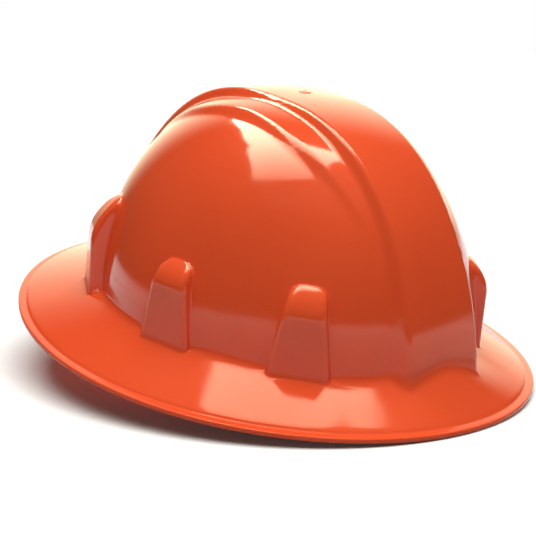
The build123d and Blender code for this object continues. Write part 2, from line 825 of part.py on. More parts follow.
# Pinion with its shaft and square drive
with BuildPart() as pinion:
    with BuildSketch(Plane.YZ.offset(rack_front - rack_thick - gear_overlap)):
        with Locations((0, pinion_level)):
            Circle(pitch_radius - tooth_dedendum)
        for tooth in range(gear_teeth):
            with Locations(Location((0, pinion_level, 0), (0, 0, 90 + 360 / gear_teeth * tooth))):
                Polygon(
                    (pitch_radius - 1.3 * tooth_dedendum, -tooth_root_half),
                    (pitch_radius, -tooth_pitch_half),
                    (pitch_radius + tooth_addendum, -tooth_tip_half),
                    (pitch_radius + tooth_addendum, tooth_tip_half),
                    (pitch_radius, tooth_pitch_half),
                    (pitch_radius - 1.3 * tooth_dedendum, tooth_root_half),
                    align=None,
                )
    extrude(amount=rack_thick + 2 * gear_overlap)
    shaft_back = housing_back - cover_thick - collar_height - fit_gap
    with BuildSketch(Plane.YZ.offset(shaft_back)):
        with Locations((0, pinion_level)):
            Circle(shaft_radius)
    extrude(amount=housing_front - housing_wall + bearing_depth - running_gap - shaft_back)
    with BuildSketch(Plane.YZ.offset(shaft_back - drive_length)):
        with Locations((0, pinion_level)):
            Rectangle(drive_width, drive_width)
    extrude(amount=drive_length)
    with BuildSketch(Plane.YZ.offset(shaft_back - drive_length)):
        with Locations((0, pinion_level)):
            Circle(screw_radius + running_gap)
    extrude(amount=screw_length, mode=Mode.SUBTRACT)
finish(pinion, "pinion")

# Knob: a ribbed cup over the detent ring, with teeth inside its skirt
knob_back = shaft_back - drive_length
knob_mouth = housing_back - cover_thick - knob_gap
with BuildPart() as knob:
    with BuildSketch(Plane.YZ.offset(knob_back)):
        with Locations((0, pinion_level)):
            Circle(knob_radius)
    extrude(amount=knob_mouth - knob_back)
    fillet(knob.edges().sort_by(Axis.X)[0], knob_round)
    with BuildSketch(Plane.YZ.offset(knob_back)):
        with Locations((0, pinion_level)):
            with PolarLocations(knob_radius + 0.45 * knob_flute, knob_flutes):
                Circle(knob_flute)
    extrude(amount=knob_mouth - knob_back, mode=Mode.SUBTRACT)
    with BuildSketch(Plane.YZ.offset(shaft_back)):
        with Locations((0, pinion_level)):
            Circle(knob_inner)
    extrude(amount=knob_mouth - shaft_back, mode=Mode.SUBTRACT)
    with BuildSketch(Plane.YZ.offset(shaft_back)):
        with Locations((0, pinion_level)):
            with PolarLocations(knob_inner, detent_teeth):
                RegularPolygon(detent_tooth, 3, rotation=180)
            Circle(knob_inner + knob_wall / 2)
            Circle(knob_inner, mode=Mode.SUBTRACT)
    extrude(amount=knob_mouth - shaft_back)
    with BuildSketch(Plane.YZ.offset(knob_back)):
        with Locations((0, pinion_level)):
            Rectangle(drive_width + 2 * running_gap, drive_width + 2 * running_gap)
    extrude(amount=drive_length, mode=Mode.SUBTRACT)
finish(knob, "knob")

# Screws: one holds the knob on the shaft, two hold the cover
def screw(back, across):
    """Pan head screw along X, its head's underside at a place along X."""
    with BuildPart() as body:
        with BuildSketch(Plane.YZ.offset(back)):
            with Locations((across, pinion_level)):
                Circle(screw_radius)
        extrude(amount=screw_length - fit_gap)
        with BuildSketch(Plane.YZ.offset(back - screw_head)):
            with Locations((across, pinion_level)):
                Circle(screw_head_radius)
        extrude(amount=screw_head)
        fillet(body.edges().sort_by(Axis.X)[0], screw_head / 2)
    return body.part


knob_screw_body = screw(knob_back - running_gap, 0)
with BuildPart() as knob_screw:
    add(knob_screw_body)
finish(knob_screw, "knob_screw")

cover_screw_bodies = [screw(housing_back - cover_thick - running_gap, side * screw_place) for side in (1, -1)]
with BuildPart() as cover_screws:
    add(cover_screw_bodies)
finish(cover_screws, "cover_screws")

# Nape pad, a small crowned cushion on the front of the housing
with BuildPart() as nape_pad:
    with BuildSketch(Plane.YZ.offset(housing_front + soft_gap)):
        with Locations((0, (nape_pad_low + nape_pad_high) / 2)):
            RectangleRounded(nape_pad_width, nape_pad_high - nape_pad_low, nape_pad_corner)
    extrude(amount=nape_pad_thick)
    front = nape_pad.faces().sort_by(Axis.X)[-1]
    fillet(front.edges(), 0.6 * nape_pad_thick)
finish(nape_pad, "nape_pad")
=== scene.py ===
from math import atan2, cos, hypot, pi, radians, sin, sqrt, tan

import bmesh
import bpy
import numpy as np
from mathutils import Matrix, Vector


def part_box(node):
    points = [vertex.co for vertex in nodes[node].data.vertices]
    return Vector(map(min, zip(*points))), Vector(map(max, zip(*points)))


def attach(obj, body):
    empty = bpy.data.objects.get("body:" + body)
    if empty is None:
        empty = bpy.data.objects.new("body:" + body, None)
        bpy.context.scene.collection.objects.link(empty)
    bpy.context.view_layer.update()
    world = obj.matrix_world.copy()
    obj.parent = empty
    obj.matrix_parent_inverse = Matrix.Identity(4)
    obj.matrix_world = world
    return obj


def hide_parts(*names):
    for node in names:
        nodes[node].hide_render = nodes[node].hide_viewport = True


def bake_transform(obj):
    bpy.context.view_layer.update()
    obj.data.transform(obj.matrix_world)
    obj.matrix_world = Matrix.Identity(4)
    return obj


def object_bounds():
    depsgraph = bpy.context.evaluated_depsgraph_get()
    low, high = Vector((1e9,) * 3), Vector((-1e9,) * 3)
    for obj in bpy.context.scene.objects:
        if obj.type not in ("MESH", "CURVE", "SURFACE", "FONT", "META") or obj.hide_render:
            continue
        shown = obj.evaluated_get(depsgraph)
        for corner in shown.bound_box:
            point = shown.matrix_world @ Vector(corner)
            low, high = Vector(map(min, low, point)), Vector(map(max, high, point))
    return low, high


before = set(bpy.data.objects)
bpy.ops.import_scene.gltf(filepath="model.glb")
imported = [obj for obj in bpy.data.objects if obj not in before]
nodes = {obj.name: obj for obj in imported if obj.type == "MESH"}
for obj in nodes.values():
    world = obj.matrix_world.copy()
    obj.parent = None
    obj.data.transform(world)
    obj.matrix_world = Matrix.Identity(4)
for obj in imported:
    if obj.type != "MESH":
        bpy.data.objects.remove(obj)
cad_box = [list(corner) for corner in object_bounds()]

# Sizes of the hat, in millimetres in its own level frame: +X forward, +Y to the wearer's left, +Z up
MM = 0.001
rim_length, rim_width, rim_sag = 320.0, 266.0, 5.0
nape_drop, nape_back = 41.2, 95.0
crown_forward, crown_front, crown_rear = 8.0, 122.0, 126.0
crown_width, crown_height, skirt_height, wall = 194.0, 131.0, 17.0, 2.4
plan_power, dome_rise_power, dome_reach_power = 1.78, 1.8, 2.36
ridge_height, ridge_front, ridge_rear = 133.2, 124.5, 130.0
ridge_rise_power, ridge_reach_power = 1.5, 2.5
plateau_half, plateau_base_half, plateau_crown = 23.0, 27.0, 1.2
ledge_half, ledge_lift, ledge_lift_power, riser_run = 39.5, 2.6, 1.4, 2.2
flare_start, flare_run = radians(40), radians(50)
ledge_draw_start, ledge_draw_run, ledge_draw_share = radians(12), radians(40), 0.55
ledge_fade_start, ledge_fade_run = radians(22), radians(35)
root_side, root_front, root_arch, root_radius = 16.5, 25.0, radians(30), 3.4
bead_inset, bead_rise, bead_step = 5.4, 4.2, 0.55
lip_height, lip_width, lip_round = 2.6, 2.4, 0.7
pocket_places = {"front": 94.0, "middle": 28.0, "rear": -60.0}
pocket_width, pocket_height, pocket_taper = 32.0, 50.0, radians(9.5)
pocket_corner, pocket_edge = 6.0, 3.0
keeper_thick, keeper_height = 2.0, 30.0
pocket_crease, pocket_root = 1.1, 0.9
least_stand, edge_share, crease_share = 0.4, 0.5, 0.3
face_offsets, dome_offsets = (-pocket_corner, -4.4, -3.2), (2.0, 3.2, 5.0, 7.2, 9.6)
edge_steps, wall_shares, crease_steps = 4, (0.33, 0.67), 3
# For each pocket, how proud it stands, where its upright face starts to bow in, how strongly, and its top
pocket_forms = {
    "front": (3.4, 44.0, 0.037, 60.0),
    "middle": (3.4, 44.5, 0.0506, 57.5),
    "rear": (6.5, 42.0, 0.0238, 66.5),
}
pocket_top = root_side + pocket_height
rest_pitch = atan2(nape_drop, rim_length / 2 + nape_back)


def smooth(share):
    """Smooth step from nought to one."""
    share = np.clip(share, 0.0, 1.0)
    return share * share * (3 - 2 * share)


def halved(is_inside, low, high, steps=34):
    """Largest values that are still inside, found by halving, for arrays."""
    for _ in range(steps):
        middle = (low + high) / 2
        inside = is_inside(middle)
        low, high = np.where(inside, middle, low), np.where(inside, high, middle)
    return (low + high) / 2


def crown_reach(ahead):
    """Reach of the dome's plan from its centre, ahead or behind."""
    return np.where(ahead > 0, crown_front, crown_rear)


def dome_level(height):
    """Size of the dome's level outline at a height, as a share of its size at the skirt."""
    rise = np.clip((height - skirt_height) / (crown_height - skirt_height), 0, 1)
    return (1 - rise**dome_rise_power) ** (1 / dome_reach_power)


def dome_height(level):
    """Height at which the dome's level outline has a size."""
    rise = (1 - np.clip(level, 0, 1) ** dome_reach_power) ** (1 / dome_rise_power)
    return skirt_height + (crown_height - skirt_height) * rise


def crown_plan(turn, level, inset=0.0):
    """Point on the dome's level outline at a turn from the front."""
    c, s = np.cos(turn), np.sin(turn)
    x = crown_forward + (crown_reach(c) - inset) * level * np.abs(c) ** (2 / plan_power) * np.sign(c)
    y = (crown_width / 2 - inset) * level * np.abs(s) ** (2 / plan_power) * np.sign(s)
    return x, y


def crown_turn(x, y):
    """Turn from the front of a point on any level outline of the dome."""
    ahead = x - crown_forward
    c = np.abs(ahead / crown_reach(ahead)) ** (plan_power / 2) * np.sign(ahead)
    s = np.abs(y / (crown_width / 2)) ** (plan_power / 2) * np.sign(y)
    return np.arctan2(s, c)


def ridge_lift(x, y, z):
    """Angle of a point in the fan, and how far the ledge and the plateau lift it off the dome."""
    angle, reach = np.arctan2(x - crown_forward, z), np.hypot(x - crown_forward, z)
    slope, across = np.abs(angle), np.abs(y)
    flare = smooth((slope - flare_start) / flare_run)
    draw = ledge_draw_share * smooth((slope - ledge_draw_start) / ledge_draw_run)
    fade = smooth((slope - ledge_fade_start) / ledge_fade_run)
    half = plateau_half + (plateau_base_half - plateau_half) * flare
    ledge = ledge_half - (ledge_half - plateau_half) * draw
    lift = ledge_lift * (1 - fade) * (across / ledge_half) ** ledge_lift_power
    length = np.where(angle > 0, ridge_front, ridge_rear)

    def is_inside(trial):
        rise = np.clip((trial * np.cos(angle) - skirt_height) / (ridge_height - skirt_height), 0, None)
        forward = np.abs(trial * np.sin(angle)) / length
        return rise**ridge_rise_power + forward**ridge_reach_power < 1

    ridge = halved(is_inside, np.zeros_like(reach), np.full_like(reach, 2 * crown_rear))
    on_ledge = smooth((ledge + riser_run - across) / (2 * riser_run))
    on_plateau = smooth((half + riser_run - across) / (2 * riser_run))
    low = reach + lift * on_ledge
    high = ridge + plateau_crown * (1 - (across / half) ** 2)
    return angle, low + (np.maximum(high, low) - low) * on_plateau - reach


def raised(x, y, z):
    """Point of the dome, moved out to the stepped crown."""
    angle, lift = ridge_lift(x, y, z)
    return np.stack([x + lift * np.sin(angle), y, z + lift * np.cos(angle)], axis=-1)


def root_height(turn):
    """Height of the brim's top where it springs from the crown."""
    rise = (root_front - root_side) * (1 - smooth(np.abs(turn) / root_arch))
    return root_side + rise


def crown_spot(place, side):
    """Origin, level direction and outward direction of a pocket on the crown's skirt."""
    reach = crown_front if place > crown_forward else crown_rear
    along = (place - crown_forward) / reach
    across = (1 - abs(along) ** plan_power) ** (1 / plan_power)
    slope_x = abs(along) ** (plan_power - 1) / reach * (1 if along > 0 else -1)
    slope_y = across ** (plan_power - 1) / (crown_width / 2)
    size = hypot(slope_x, slope_y)
    out = np.array([slope_x / size, side * slope_y / size])
    return np.array([place, side * across * crown_width / 2]), np.array([-out[1], out[0]]), out


# Stations across a pocket's edge, from its face over the rounded edge, the wall and the crease to the dome
def edge_stations():
    """Offset from the outline, kind, and share or turn of each station."""
    rows = [(offset, "face", 0) for offset in face_offsets]
    for step in range(edge_steps + 1):
        turn = pi / 2 * step / edge_steps
        rows.append((-pocket_edge + pocket_edge * sin(turn), "edge", turn))
    rows += [(0.0, "wall", share) for share in wall_shares]
    for step in range(crease_steps + 1):
        turn = pi / 2 * step / crease_steps
        rows.append((pocket_crease * (1 - cos(turn)), "crease", turn))
    return rows + [(offset, "dome", 0) for offset in dome_offsets]


stations = edge_stations()
offsets = np.array([row[0] for row in stations])
last_offset = offsets[-1]


def station_depth(index, on_dome, height, form):
    """Distance out from the pocket's plane at each vertex: upright below, bowed in to the dome above."""
    foot_proud, bow_start, bow, _ = form
    face = foot_proud - bow * np.maximum(height - bow_start, 0) ** 2
    face = np.maximum(face, on_dome + least_stand)
    proud = face - on_dome
    edge = np.minimum(pocket_edge, edge_share * proud)
    crease = np.minimum(pocket_crease, crease_share * proud)
    depth = np.array(on_dome)
    for number, (_, kind, share) in enumerate(stations):
        if kind == "dome":
            continue
        value = {
            "face": face,
            "edge": face - edge * (1 - cos(share)),
            "wall": face - edge + (on_dome + crease - face + edge) * share,
            "crease": on_dome + crease * (1 - sin(share)),
        }[kind]
        depth = np.where(index == number, value, depth)
    return depth


def pocket_half(height, top):
    """Half width of a pocket at a height."""
    return pocket_width / 2 - (np.minimum(height, top) - root_side) * tan(pocket_taper)


low_rows, face_columns = 13, 3
fillet_margin, search_in, search_out = 1, -60.0, 12.0
station_count = len(stations)
corner_height = pocket_top - pocket_corner
zone_top = pocket_top + last_offset


def even_heights(base):
    """Heights of the rows from the brim's root to above the pockets, clear of the pockets."""
    low = [base + (corner_height - base) * step / low_rows for step in range(low_rows)]
    count = station_count - 1
    rise = zone_top - corner_height
    high = [corner_height + 0 * base + rise * step / count for step in range(station_count)]
    return np.array(low + high)


def pocket_zone(place, side, form):
    """Grid over a pocket and its surroundings: its points, their turns and each column's fillet."""
    origin, level, out = crown_spot(place, side)
    top = form[3]
    local_corner = top - pocket_corner
    marks = [(-1, number) for number in range(station_count - 1, -1, -1)]
    marks += [(0, step) for step in range(1, face_columns + 1)]
    marks += [(1, number) for number in range(station_count)]
    signs = np.array([sign for sign, _ in marks], float)
    numbers = np.array([number if sign else 0 for sign, number in marks])
    columns = len(marks)
    rows = low_rows + station_count
    row_numbers = np.array([0] * low_rows + list(range(station_count)))
    plan_half = pocket_width / 2 + last_offset
    rough = origin[:, None] + level[:, None] * (np.linspace(-1, 1, columns) * plan_half)
    beyond = np.abs(np.linspace(-plan_half, plan_half, columns)) - pocket_width / 2
    near = smooth((beyond - fillet_margin) / (last_offset - fillet_margin))
    fillet = pocket_root + (root_radius - pocket_root) * near
    base = root_height(crown_turn(rough[0], rough[1])) + fillet
    even = even_heights(base)
    # Distances from the centres of the outline's upper corners, which are drawn from squares onto arcs
    side_run = np.where(signs == 0, 0, offsets[numbers] + pocket_corner)[None, :]
    up_run = np.where(np.arange(rows) < low_rows, 0, offsets[row_numbers] + pocket_corner)[:, None]
    most = np.maximum(side_run, up_run)
    size = np.hypot(side_run, up_run)
    round_off = most / np.where(size > 0, size, 1)
    low = [base + (local_corner - base) * step / low_rows for step in range(low_rows)]
    height = np.array(low + [local_corner + 0 * base] * station_count) + up_run * round_off
    inner = pocket_half(height, top) - pocket_corner
    shares = np.array([2 * number / (face_columns + 1) - 1 if sign == 0 else 0 for sign, number in marks])
    across = shares * inner + signs * (inner + side_run * round_off) * (signs != 0)
    # Away from the outline the grid settles into even columns and rows, which meet the gaps and the crown.
    outside = smooth((most - pocket_corner - pocket_crease) / (last_offset - pocket_crease))
    level_row = np.linspace(-1, 1, columns) * (pocket_half(even, top) + last_offset)
    height = height + (even - height) * outside
    across = across + (level_row - across) * outside
    size_share = dome_level(height) ** plan_power

    def is_inside(depth):
        x = origin[0] + across * level[0] + depth * out[0] - crown_forward
        y = origin[1] + across * level[1] + depth * out[1]
        plan = np.abs(x / crown_reach(x)) ** plan_power + np.abs(y / (crown_width / 2)) ** plan_power
        return plan < size_share

    on_dome = halved(is_inside, np.full_like(across, search_in), np.full_like(across, search_out))
    station = np.maximum(numbers[None, :], row_numbers[:, None])
    depth = station_depth(station, on_dome, height, form)
    x = origin[0] + across * level[0] + on_dome * out[0]
    y = origin[1] + across * level[1] + on_dome * out[1]
    points = raised(x, y, height)
    shift = depth - on_dome
    points[..., 0] += shift * out[0]
    points[..., 1] += shift * out[1]
    return points, crown_turn(x, y), fillet


def gap_columns(start, end, count):
    """Grid of plain dome between two zones' borders: its points, their turns and each column's fillet."""
    shares = np.arange(1, count + 1) / (count + 1)
    turn = start[:, None] + (end - start)[:, None] * shares
    base = root_height(turn[0]) + root_radius
    height = even_heights(base)
    x, y = crown_plan(turn, dome_level(height))
    return raised(x, y, height), turn, np.full(count, root_radius)


# Crown: six pocket zones and the gaps between them, in order of their turn from the back round the right
gap_counts = {("rear", "middle"): 22, ("middle", "front"): 13, ("front", "front"): 60, ("rear", "rear"): 90}
around = [("rear", -1), ("middle", -1), ("front", -1), ("front", 1), ("middle", 1), ("rear", 1)]
zones = [pocket_zone(pocket_places[name], side, pocket_forms[name]) for name, side in around]
grids, turns, fillets = [], [], []
for number, (name, side) in enumerate(around):
    points, turn, fillet = zones[number]
    following = zones[(number + 1) % len(around)]
    next_name = around[(number + 1) % len(around)][0]
    turn = np.unwrap(turn, axis=1)
    end = following[1][:, 0]
    end = end + 2 * pi * np.round((turn[:, -1] + pi / 2 - end) / (2 * pi))
    key = tuple(sorted((name, next_name), key=("rear", "middle", "front").index))
    between = gap_columns(turn[:, -1], end, gap_counts[key])
    grids += [points, between[0]]
    turns += [turn, between[1]]
    fillets += [fillet, between[2]]
side_points = np.concatenate(grids, axis=1)
side_turns = np.concatenate(turns, axis=1)
fillet_sizes = np.concatenate(fillets)
column_count = side_points.shape[1]

crown_rows = 46
top_turns = side_turns[-1]
levels = dome_level(zone_top) * (1 - np.arange(1, crown_rows) / crown_rows)
x, y = crown_plan(top_turns[None, :], levels[:, None])
crown_points = raised(x, y, dome_height(levels)[:, None] + 0 * x)
pole = raised(np.array([crown_forward]), np.array([0.0]), np.array([crown_height]))[0]

# Brim: each column runs from the crown's foot to the rim, whose turns are spread evenly over a pocket
rim_turns = side_turns[0].copy()
start = 0
for number in range(len(around)):
    width = zones[number][0].shape[1]
    rim_turns[start:start + width] = np.linspace(rim_turns[start], rim_turns[start + width - 1], width)
    start += width + grids[2 * number + 1].shape[1]

turn_search, foot_smoothing = 0.3, 3
fillet_steps, brim_rows, bead_margin = 5, 14, 0.012


def rim_line(turn):
    """Line of the brim's top at a turn: its rim point, root point, way out and fall."""
    rim = np.stack([rim_length / 2 * np.cos(turn), rim_width / 2 * np.sin(turn)], axis=-1)
    root = np.stack(crown_plan(turn, 1.0, wall / 2), axis=-1)
    run = np.linalg.norm(rim - root, axis=1)
    drop = root_height(turn) + rim_sag * np.sin(turn) ** 2 - bead_rise
    return rim, root, (rim - root) / run[:, None], np.arctan2(drop, run - bead_inset - wall / 2)


def brim_height(points):
    """Height of the brim's straight top at points in plan, by the line that passes through each."""
    def is_inside(turn):
        _, root, outward, _ = rim_line(turn)
        gap = points - root
        return outward[:, 0] * gap[:, 1] - outward[:, 1] * gap[:, 0] > 0

    turn = halved(is_inside, rim_turns - turn_search, rim_turns + turn_search)
    _, root, outward, fall = rim_line(turn)
    distance = np.sum((points - root) * outward, axis=1)
    return root_height((turn + pi) % (2 * pi) - pi) - (distance - wall / 2) * np.tan(fall)


rim, root, outward, fall = rim_line(rim_turns)
rim_low = -rim_sag * np.sin(rim_turns) ** 2
under_depth = wall / np.cos(fall)
foot = side_points[0, :, :2]
along = np.roll(foot, -1, axis=0) - np.roll(foot, 1, axis=0)
normal = np.stack([along[:, 1], -along[:, 0]], axis=-1)
normal /= np.linalg.norm(normal, axis=1)[:, None]
normal = sum(np.roll(normal, step, axis=0) for step in range(-foot_smoothing, foot_smoothing + 1))
normal /= np.linalg.norm(normal, axis=1)[:, None]
spring = foot + normal * fillet_sizes[:, None]
bead = rim - outward * bead_inset
corner = np.concatenate([foot, brim_height(foot)[:, None]], axis=1)
spring_point = np.concatenate([spring, brim_height(spring)[:, None]], axis=1)
bead_point = np.concatenate([bead, (rim_low + bead_rise)[:, None]], axis=1)
brim_points = []
for step in range(1, fillet_steps + 1):
    share = step / fillet_steps
    brim_points.append(
        (1 - share) ** 2 * side_points[0] + 2 * share * (1 - share) * corner + share**2 * spring_point
    )
for step in range(1, brim_rows + 1):
    share = step / brim_rows * (1 - bead_margin)
    flat = spring_point + (bead_point - spring_point) * share
    flat[:, 2] = brim_height(flat[:, :2])
    brim_points.append(flat)

# Edge of the rim: distance in from its outermost line and height over its lowest line, bead to inner lip
ARC = [0.0, radians(30), radians(60), radians(90)]
rim_profile = [(bead_inset, bead_rise - 0.06), (bead_inset - 0.3, bead_rise - 0.32)]
rim_profile += [(bead_inset - 2 * bead_step + 0.15, bead_rise - 2 * bead_step - 0.05)]
rim_profile += [(bead_inset - 2 * bead_step - 0.3, bead_rise - 2 * bead_step - 0.1)]
rim_profile += [(2.4, lip_height + 0.2)]
rim_profile += [(lip_round * (1 - sin(a)), lip_height - lip_round * (1 - cos(a))) for a in ARC]
rim_profile += [(lip_round * (1 - cos(a)), lip_round * (1 - sin(a))) for a in ARC]
rim_profile += [(lip_width - 0.4, 0.0), (lip_width, 0.35), (lip_width, lip_height - 0.8 * wall)]
lip_points = []
for inset, height in rim_profile:
    flat = rim - outward * inset
    lip_points.append(np.concatenate([flat, (rim_low + height)[:, None]], axis=1))

outer_rows = [*crown_points[::-1], *side_points[::-1], *brim_points]


def to_rest(points):
    """Points of the hat's level frame in the rest pose, before the shift onto the floor."""
    points = np.asarray(points, float)
    x, y, z = points[..., 0], points[..., 1], points[..., 2]
    c, s = cos(rest_pitch), sin(rest_pitch)
    return np.stack([x * c + z * s, y, z * c - x * s], axis=-1)


def row_normals(rows):
    """Normals of a closed grid of rows, from its neighbours along and across."""
    grid = np.array(rows)
    across = np.roll(grid, -1, axis=1) - np.roll(grid, 1, axis=1)
    along = np.gradient(grid, axis=0)
    out = np.cross(along, across)
    return out / np.maximum(np.linalg.norm(out, axis=2, keepdims=True), 1e-9)


normals = row_normals(outer_rows)
inner_rows = [row - wall * normals[number] for number, row in enumerate(outer_rows)]
for number in range(len(outer_rows) - brim_rows, len(outer_rows)):
    inner_rows[number] = outer_rows[number] - np.stack([0 * fall, 0 * fall, under_depth], axis=-1)
inner_bead = bead_point - np.stack([0 * fall, 0 * fall, under_depth], axis=-1)
all_rows = outer_rows + lip_points + [inner_bead] + inner_rows[::-1]

mesh_points = to_rest(np.concatenate([np.array(all_rows).reshape(-1, 3), [pole, pole - [0, 0, wall]]]))
low, high = mesh_points.min(axis=0), mesh_points.max(axis=0)
node_low, node_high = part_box("shell")
node_middle = (node_low.x + node_high.x) / 2 / MM
shift = np.array([node_middle - (low[0] + high[0]) / 2, 0.0, node_low.z / MM - low[2]])


def placed(points):
    """Points of the hat's level frame in the shared frame, in metres."""
    return (to_rest(points) + shift) * MM


def grid_faces(row_count, columns):
    """Quads of a grid whose rows are closed."""
    faces = []
    for row in range(row_count - 1):
        for column in range(columns):
            a = row * columns + column
            b = row * columns + (column + 1) % columns
            faces.append((a, a + columns, b + columns, b))
    return faces


def linked(name, data):
    """Object in the scene, from its mesh, lamp or camera."""
    piece = bpy.data.objects.new(name, data)
    bpy.context.scene.collection.objects.link(piece)
    return piece


def new_piece(name, points, faces, material, sharp=None):
    """Mesh object from points in the shared frame, smooth shaded."""
    mesh = bpy.data.meshes.new(name)
    mesh.from_pydata([tuple(p) for p in points], [], faces)
    work = bmesh.new()
    work.from_mesh(mesh)
    bmesh.ops.recalc_face_normals(work, faces=work.faces)
    work.to_mesh(mesh)
    work.free()
    mesh.shade_smooth()
    if sharp:
        mesh.set_sharp_from_angle(angle=sharp)
    mesh.materials.append(material)
    return linked(name, mesh)


row_total = len(all_rows)
shell_faces = grid_faces(row_total, column_count)
outer_pole, inner_pole = row_total * column_count, row_total * column_count + 1
last = (row_total - 1) * column_count
for column in range(column_count):
    following = (column + 1) % column_count
    shell_faces.append((outer_pole, column, following))
    shell_faces.append((inner_pole, last + following, last + column))
shell_points = list(placed(np.array(all_rows).reshape(-1, 3))) + [placed(pole), placed(pole - [0, 0, wall])]

# Keeper bars inside the pockets, as closed plates of the same moulding
for name, place in pocket_places.items():
    for side in (1, -1):
        origin, level, out = crown_spot(place, side)
        low_half = pocket_width / 2 - wall / 2
        high_half = low_half - keeper_height * tan(pocket_taper)
        first = len(shell_points)
        for depth in (-wall - keeper_thick / 2, -wall + keeper_thick / 2):
            for across, height in (
                (-low_half, root_side), (low_half, root_side),
                (high_half, root_side + keeper_height), (-high_half, root_side + keeper_height),
            ):
                spot = origin + level * across + out * depth
                shell_points.append(placed([spot[0], spot[1], height]))
        shell_faces += [tuple(first + i for i in ring) for ring in (
            (0, 1, 2, 3), (7, 6, 5, 4), (0, 4, 5, 1), (1, 5, 6, 2), (2, 6, 7, 3), (3, 7, 4, 0),
        )]


def new_material(name, rough):
    """Material, its node tree, its main shader and the object's coordinates."""
    material = bpy.data.materials.new(name)
    material.use_nodes = True
    tree = material.node_tree
    shader = tree.nodes["Principled BSDF"]
    shader.inputs["Roughness"].default_value = rough
    coordinates = tree.nodes.new("ShaderNodeTexCoord")
    return material, tree, shader, coordinates.outputs["Object"]


def srgb(red, green, blue):
    """Linear colour, with its alpha, from the numbers of a screen colour."""
    def linear(value):
        value /= 255
        return value / 12.92 if value <= 0.04045 else ((value + 0.055) / 1.055) ** 2.4
    return linear(red), linear(green), linear(blue), 1.0


def noise(tree, place, scale, detail=3.0, rough=0.5, stretch=None):
    """Noise texture whose grain is a number of cells per metre."""
    if stretch:
        mapping = tree.nodes.new("ShaderNodeMapping")
        mapping.inputs["Scale"].default_value = stretch
        tree.links.new(place, mapping.inputs["Vector"])
        place = mapping.outputs["Vector"]
    node = tree.nodes.new("ShaderNodeTexNoise")
    node.inputs["Scale"].default_value = scale
    node.inputs["Detail"].default_value = detail
    node.inputs["Roughness"].default_value = rough
    tree.links.new(place, node.inputs["Vector"])
    return node.outputs["Fac"]


def spread(tree, value, low, high, start=0.0, end=1.0):
    """Value drawn from one range to another."""
    node = tree.nodes.new("ShaderNodeMapRange")
    for name, number in (("From Min", start), ("From Max", end), ("To Min", low), ("To Max", high)):
        node.inputs[name].default_value = number
    tree.links.new(value, node.inputs["Value"])
    return node.outputs["Result"]


def tinted(tree, value, dark, light):
    """Colour between two by a value."""
    node = tree.nodes.new("ShaderNodeMix")
    node.data_type = "RGBA"
    node.inputs["A"].default_value = dark
    node.inputs["B"].default_value = light
    tree.links.new(value, node.inputs["Factor"])
    return node.outputs["Result"]


def bumped(tree, shader, value, distance, strength=1.0, under=None):
    """Bump of a depth in metres on a shader."""
    node = tree.nodes.new("ShaderNodeBump")
    node.inputs["Strength"].default_value = strength
    node.inputs["Distance"].default_value = distance
    tree.links.new(value, node.inputs["Height"])
    if under:
        tree.links.new(under, node.inputs["Normal"])
    tree.links.new(node.outputs["Normal"], shader.inputs["Normal"])
    return node.outputs["Normal"]


def moulded(name, dark, light, rough, grain=900, depth=0.00003, span=0.08):
    """Moulded plastic: a fine grain, faint marks and a slight change of shade."""
    material, tree, shader, place = new_material(name, rough)
    shade = spread(tree, noise(tree, place, 14, 2), 0, 1, 0.3, 0.7)
    tree.links.new(tinted(tree, shade, dark, light), shader.inputs["Base Color"])
    marks = noise(tree, place, 60, 6, 0.65)
    roughness = spread(tree, marks, rough - span / 2, rough + span / 2, 0.3, 0.7)
    tree.links.new(roughness, shader.inputs["Roughness"])
    bumped(tree, shader, noise(tree, place, grain, 2), depth)
    return material


def math_node(tree, operation, first, second=None):
    """Result of a sum on one or two values."""
    node = tree.nodes.new("ShaderNodeMath")
    node.operation = operation
    for number, value in enumerate((first, second)):
        if isinstance(value, (int, float)):
            node.inputs[number].default_value = value
        elif value is not None:
            tree.links.new(value, node.inputs[number])
    return node.outputs["Value"]


def glossy_shell():
    """Polished orange moulding with a very faint waviness and fine scuffs, less glossy on the brim."""
    material, tree, shader, place = new_material("shell_orange", 0.14)
    shade = spread(tree, noise(tree, place, 9, 2), 0, 1, 0.3, 0.7)
    tree.links.new(tinted(tree, shade, shell_dark, shell_light), shader.inputs["Base Color"])
    scuffs = noise(tree, place, 130, 5, 0.7, (1, 0.25, 0.6))
    roughness = spread(tree, scuffs, shell_rough, shell_rough + scuff_rough, 0.45, 0.75)
    tree.links.new(roughness, shader.inputs["Roughness"])
    brim_share = tree.nodes.new("ShaderNodeAttribute")
    brim_share.attribute_name = "brim"
    gloss = spread(tree, brim_share.outputs["Fac"], crown_gloss, brim_gloss)
    tree.links.new(gloss, shader.inputs["Specular IOR Level"])
    wave = bumped(tree, shader, noise(tree, place, 55, 1), 0.00006)
    bumped(tree, shader, noise(tree, place, 420, 2), 0.000008, 1.0, wave)
    return material


